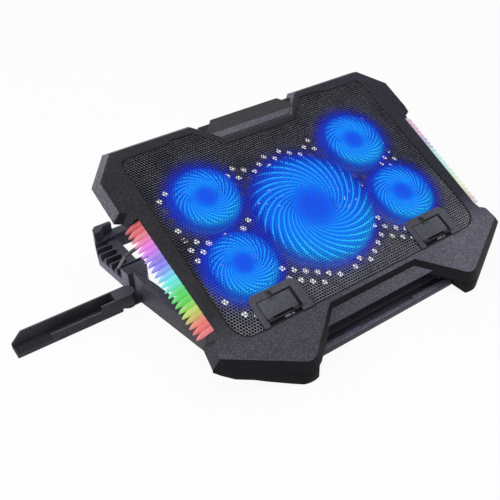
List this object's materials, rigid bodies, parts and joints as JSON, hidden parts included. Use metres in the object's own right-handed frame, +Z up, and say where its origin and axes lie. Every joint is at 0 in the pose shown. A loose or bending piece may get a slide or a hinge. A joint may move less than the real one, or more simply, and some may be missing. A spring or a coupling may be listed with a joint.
{
  "type": "laptop cooling pad",
  "caption": "Tilting laptop cooling pad with mesh top, lit fans, side light strips, flip-up stoppers, notched base and a swing-out phone tray.",
  "frame": {"origin": "on the desk, in the middle of the front bar, straight below the hinge line of the panel", "axes": "+X to the user's right, +Y away from the user, +Z up"},
  "size_m": [0.5455, 0.3266, 0.1528],
  "materials": {
    "shell_plastic": "fine grained matt grey plastic",
    "base_plastic": "matt grey plastic",
    "mesh_steel": "dark painted perforated sheet",
    "plate_plastic": "smooth dark plastic",
    "diffuser": "milky translucent plastic",
    "led_board": "white circuit board",
    "fan_plastic": "black fan frame",
    "rotor_plastic": "clear blue-lit blades",
    "wire_steel": "dark plated wire",
    "pin_steel": "bright steel",
    "flap_plastic": "matt grey plastic",
    "socket_steel": "plated sheet",
    "pad_rubber": "soft rubber",
    "button_plastic": "satin black"
  },
  "bodies": {
    "base": {"base_frame": "base_plastic", "base_pad_1": "pad_rubber", "base_pad_2": "pad_rubber", "base_pad_3": "pad_rubber", "base_pad_4": "pad_rubber", "hinge_pin_left": "pin_steel", "hinge_pin_right": "pin_steel", "tray_pin": "pin_steel"},
    "panel": {"panel_frame": "shell_plastic", "toe_left": "shell_plastic", "toe_right": "shell_plastic", "mesh_panel": "mesh_steel", "bottom_shell": "shell_plastic", "nameplate": "plate_plastic", "light_diffuser_left": "diffuser", "light_diffuser_right": "diffuser", "led_board_left": "led_board", "led_board_right": "led_board", "prop_clip_left": "shell_plastic", "prop_clip_right": "shell_plastic", "fan_large_frame": "fan_plastic", "fan_small_1_frame": "fan_plastic", "fan_small_2_frame": "fan_plastic", "fan_small_3_frame": "fan_plastic", "fan_small_4_frame": "fan_plastic", "stopper_base_left": "flap_plastic", "stopper_base_right": "flap_plastic", "stopper_pin_left": "pin_steel", "stopper_pin_right": "pin_steel", "control_housing": "shell_plastic", "usb_socket_left": "socket_steel", "usb_socket_right": "socket_steel"},
    "tray": {"phone_tray": "base_plastic"},
    "prop": {"prop_bail": "wire_steel"},
    "large_rotor": {"fan_large_rotor": "rotor_plastic"},
    "small_rotor_1": {"fan_small_1_rotor": "rotor_plastic"},
    "small_rotor_2": {"fan_small_2_rotor": "rotor_plastic"},
    "small_rotor_3": {"fan_small_3_rotor": "rotor_plastic"},
    "small_rotor_4": {"fan_small_4_rotor": "rotor_plastic"},
    "stopper_left": {"stopper_flap_left": "flap_plastic"},
    "stopper_right": {"stopper_flap_right": "flap_plastic"},
    "speed_button": {"speed_button": "button_plastic"},
    "light_button": {"light_button": "button_plastic"}
  },
  "joints": [
    {"name": "panel_tilt", "type": "hinge", "parent": "base", "child": "panel", "pos_m": [0, 0, 0.0102], "axis": [1, 0, 0], "range_deg": [-25, 0]},
    {"name": "prop_fold", "type": "hinge", "parent": "panel", "child": "prop", "pos_m": [0, 0.14733, 0.10361], "axis": [1, 0, 0], "range_deg": [0, 71.96]},
    {"name": "tray_swing", "type": "hinge", "parent": "base", "child": "tray", "pos_m": [-0.206, 0.176, 0.012], "axis": [0, 0, 1], "range_deg": [0, 98]},
    {"name": "large_rotor_spin", "type": "hinge", "parent": "panel", "child": "large_rotor", "pos_m": [0, 0.10766, 0.08125], "axis": [0, -0.4226, 0.9063], "continuous": true},
    {"name": "small_rotor_1_spin", "type": "hinge", "parent": "panel", "child": "small_rotor_1", "pos_m": [-0.105, 0.16213, 0.10665], "axis": [0, -0.4226, 0.9063], "continuous": true},
    {"name": "small_rotor_2_spin", "type": "hinge", "parent": "panel", "child": "small_rotor_2", "pos_m": [0.105, 0.16213, 0.10665], "axis": [0, -0.4226, 0.9063], "continuous": true},
    {"name": "small_rotor_3_spin", "type": "hinge", "parent": "panel", "child": "small_rotor_3", "pos_m": [-0.113, 0.08301, 0.06976], "axis": [0, -0.4226, 0.9063], "continuous": true},
    {"name": "small_rotor_4_spin", "type": "hinge", "parent": "panel", "child": "small_rotor_4", "pos_m": [0.113, 0.08301, 0.06976], "axis": [0, -0.4226, 0.9063], "continuous": true},
    {"name": "stopper_left_flip", "type": "hinge", "parent": "panel", "child": "stopper_left", "pos_m": [-0.1072, 0.01443, 0.05025], "axis": [1, 0, 0], "range_deg": [0, 90]},
    {"name": "stopper_right_flip", "type": "hinge", "parent": "panel", "child": "stopper_right", "pos_m": [0.1072, 0.01443, 0.05025], "axis": [1, 0, 0], "range_deg": [0, 90]},
    {"name": "speed_button_press", "type": "slide", "parent": "panel", "child": "speed_button", "axis": [0, -0.9063, -0.4226], "range_m": [0, 0.0015], "stiffness_N_per_m": 400},
    {"name": "light_button_press", "type": "slide", "parent": "panel", "child": "light_button", "axis": [0, -0.9063, -0.4226], "range_m": [0, 0.0015], "stiffness_N_per_m": 400}
  ],
  "couplings": [
    {"joint": "prop_fold", "follows": "panel_tilt", "ratio": -2.8777}
  ]
}
